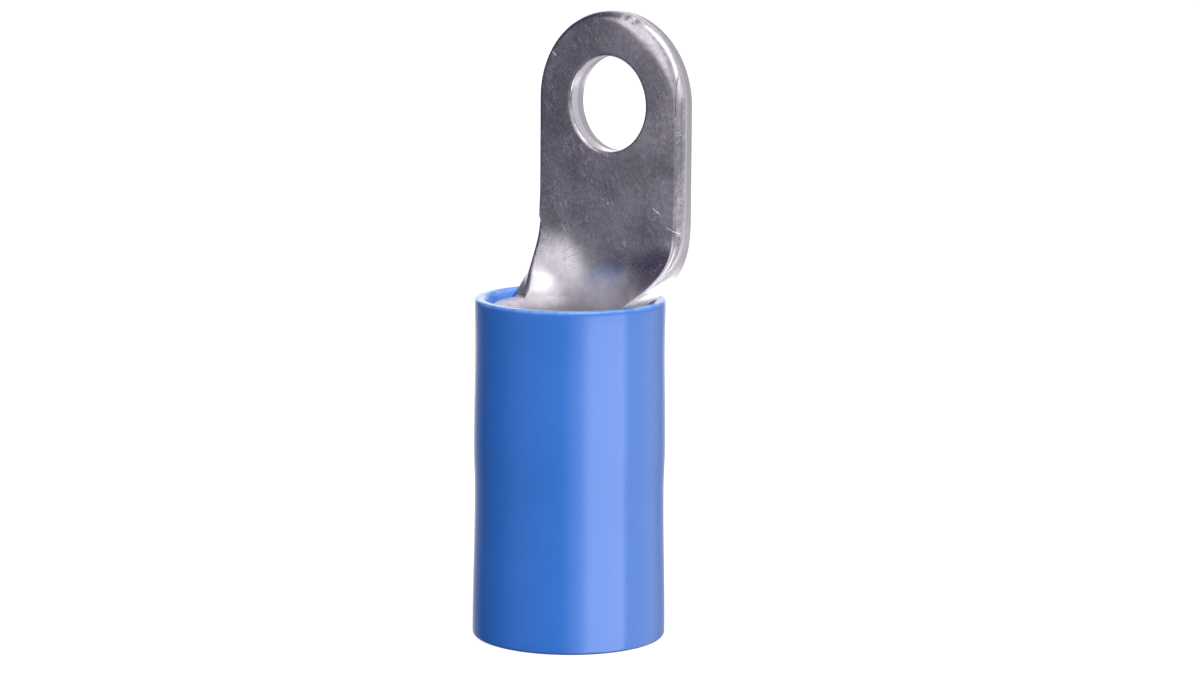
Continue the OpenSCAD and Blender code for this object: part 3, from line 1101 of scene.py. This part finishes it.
def sleeve_outline():
    """Closed section of the sleeve's wall as (radius, height), from its base up the outside."""
    waist = GRIP_R - WAIST_DRAW
    stations = [
        (BASE_ROUND, GRIP_R + ENTRY_FLARE),
        (BARREL_Z - RELAX_L * RELAX_BELOW, GRIP_R - RELAX_DRAW),
        (BARREL_Z + RELAX_L * (1 - RELAX_BELOW), GRIP_R),
        (SLEEVE_L - WAIST_DROP, waist),
        (SLEEVE_L - RIM_ROUND, (GRIP_R + waist) / 2),
    ]
    base, rim = stations[0][1] - BASE_ROUND, stations[-1][1] - RIM_ROUND
    points = arc((base, BASE_ROUND), BASE_ROUND, -90, 0, ARC_STEPS)
    for (low, start), (high, end) in zip(stations, stations[1:]):
        for k in range(1, CURVE_STEPS + 1):
            share = k / CURVE_STEPS
            rise = (1 - math.cos(math.pi * share)) / 2
            points.append((start + (end - start) * rise, low + (high - low) * share))
    points += arc((rim, SLEEVE_L - RIM_ROUND), RIM_ROUND, 0, 90, ARC_STEPS)[1:]
    points += soft_corner((SEAT_R + RIM_LEAD_W, SLEEVE_L), (1, 0), (-RIM_LEAD_W, -RIM_LEAD_H))
    points += [(SEAT_R + RIM_LEAD_W * s, SLEEVE_L - RIM_LEAD_H * (1 - s)) for s in (0.6, 0.3, 0)]
    points += [(SEAT_R, z) for z in np.linspace(SLEEVE_L - RIM_LEAD_H, BARREL_Z, 10)[1:]]
    points += [(ENTRY_R, z) for z in np.linspace(BARREL_Z, ENTRY_LEAD_H, 10)]
    points += [(ENTRY_R + ENTRY_LEAD_W * s, ENTRY_LEAD_H * (1 - s)) for s in (0.3, 0.6)]
    base_corner = (ENTRY_R + ENTRY_LEAD_W, 0.0)
    points += soft_corner(base_corner, (-ENTRY_LEAD_W, ENTRY_LEAD_H), (1, 0))
    return points


def soft_corner(corner, before, after):
    """A corner as two points, a little way along each of its sides."""
    places = []
    for side in (before, after):
        length = math.hypot(*side)
        places.append(tuple(c + EDGE_SOFT * s / length for c, s in zip(corner, side)))
    return places


def turning_tree():
    """Geometry Nodes that turn a section round the Z axis, with a faint ripple in its radius."""
    inputs = [
        ("Section", "NodeSocketGeometry", None),
        ("Section Points", "NodeSocketInt", 32),
        ("Steps Around", "NodeSocketInt", 64),
        ("Ripple", "NodeSocketFloat", 0.0),
        ("Ripple Scale", "NodeSocketFloat", 100.0),
        ("Seed", "NodeSocketFloat", 0.0),
        ("Finish", "NodeSocketMaterial", None),
    ]
    outputs = [("Geometry", "NodeSocketGeometry")]
    tree, given, result = new_group("turned_sleeve", inputs, outputs, "GeometryNodeTree")
    seen = given.outputs
    around = maths(tree, "ADD", seen["Steps Around"], 1.0)
    along = maths(tree, "ADD", seen["Section Points"], 1.0)
    sizes = {"Size X": 1.0, "Size Y": 1.0, "Vertices X": around, "Vertices Y": along}
    sheet = put(tree, "GeometryNodeMeshGrid", sizes)
    here = put(tree, "GeometryNodeInputPosition").outputs[0]
    place = put(tree, "ShaderNodeSeparateXYZ", {0: here}).outputs
    turn = maths(tree, "MULTIPLY", maths(tree, "ADD", place["X"], 0.5), 2 * math.pi)
    share = maths(tree, "ADD", place["Y"], 0.5)
    count = maths(tree, "MULTIPLY", share, seen["Section Points"])
    index = maths(tree, "MODULO", maths(tree, "ROUND", count), seen["Section Points"])
    picked = {"Geometry": seen["Section"], "Value": here, "Index": index}
    kind = {"data_type": "FLOAT_VECTOR", "domain": "POINT"}
    section = put(tree, "GeometryNodeSampleIndex", picked, **kind)
    at = put(tree, "ShaderNodeSeparateXYZ", {0: section.outputs[0]}).outputs
    cosine, sine = maths(tree, "COSINE", turn), maths(tree, "SINE", turn)
    way = put(tree, "ShaderNodeCombineXYZ", {0: cosine, 1: sine, 2: at["Z"]}).outputs[0]
    stretched = vector_maths(tree, "MULTIPLY", way, RIPPLE_STRETCH)
    wave = {"Vector": stretched, "W": seen["Seed"], "Scale": seen["Ripple Scale"], "Detail": 1.0}
    level = put(tree, "ShaderNodeTexNoise", wave, noise_dimensions="4D").outputs["Fac"]
    swing = maths(tree, "SUBTRACT", level, 1.0)
    radius = maths(tree, "ADD", at["X"], maths(tree, "MULTIPLY", swing, seen["Ripple"]))
    x, y = maths(tree, "MULTIPLY", radius, cosine), maths(tree, "MULTIPLY", radius, sine)
    turned = put(tree, "ShaderNodeCombineXYZ", {0: x, 1: y, 2: at["Z"]}).outputs[0]
    moved = put(tree, "GeometryNodeSetPosition", {"Geometry": sheet.outputs[0], "Position": turned})
    merged = {"Geometry": moved.outputs[0], "Distance": 1e-6}
    closed = put(tree, "GeometryNodeMergeByDistance", merged)
    real = put(tree, "GeometryNodeRealizeInstances", {"Geometry": closed.outputs[0]})
    covered = {"Geometry": real.outputs[0], "Material": seen["Finish"]}
    done = put(tree, "GeometryNodeSetMaterial", covered)
    tree.links.new(done.outputs[0], result.inputs["Geometry"])
    return tree


def build_sleeve(finish):
    """The sleeve: its wall's section, turned round the axis by Geometry Nodes."""
    outline = sleeve_outline()
    section = bpy.data.meshes.new("sleeve_section")
    ring = [(k, (k + 1) % len(outline)) for k in range(len(outline))]
    section.from_pydata([(r * MM, 0, z * MM) for r, z in outline], ring, [])
    carrier = stand("sleeve_carrier", section)
    modifier = carrier.modifiers.new("turned", "NODES")
    modifier.node_group = turning_tree()
    sizes = {
        "Section Points": len(outline),
        "Steps Around": SLEEVE_STEPS_AROUND,
        "Ripple": SLEEVE_RIPPLE * MM,
        "Ripple Scale": RIPPLE_SCALE,
        "Seed": RIPPLE_SEED,
        "Finish": finish,
    }
    for socket in modifier.node_group.interface.items_tree:
        if socket.name in sizes:
            modifier[socket.identifier] = sizes[socket.name]
    bpy.context.view_layer.update()
    ready = carrier.evaluated_get(bpy.context.evaluated_depsgraph_get())
    mesh = bpy.data.meshes.new_from_object(ready)
    bpy.data.objects.remove(carrier)
    smooth_outwards(mesh, SLEEVE_SHARP)
    mesh.name = "sleeve"
    return mesh


# ---------------------------------------------------------------- assembly


def show_piece(name, mesh, finish, node):
    mesh.materials.clear()
    mesh.materials.append(finish)
    piece = stand(name, mesh)
    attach(piece, "root")
    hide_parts(node)


set_camera()
studio_panel = panel_group()
light_studio(studio_panel)
stand_cards(studio_panel)
for lamp_name, lamp_sizes in LAMPS.items():
    add_lamp(lamp_name, *lamp_sizes)
lay_floor()

hair_scuffs = scuff_group()
tin = tinned_copper(hair_scuffs)
vinyl = blue_vinyl(hair_scuffs)
show_piece("terminal", build_terminal(), tin, "terminal_body")
show_piece("sleeve", build_sleeve(vinyl), vinyl, "insulating_sleeve")
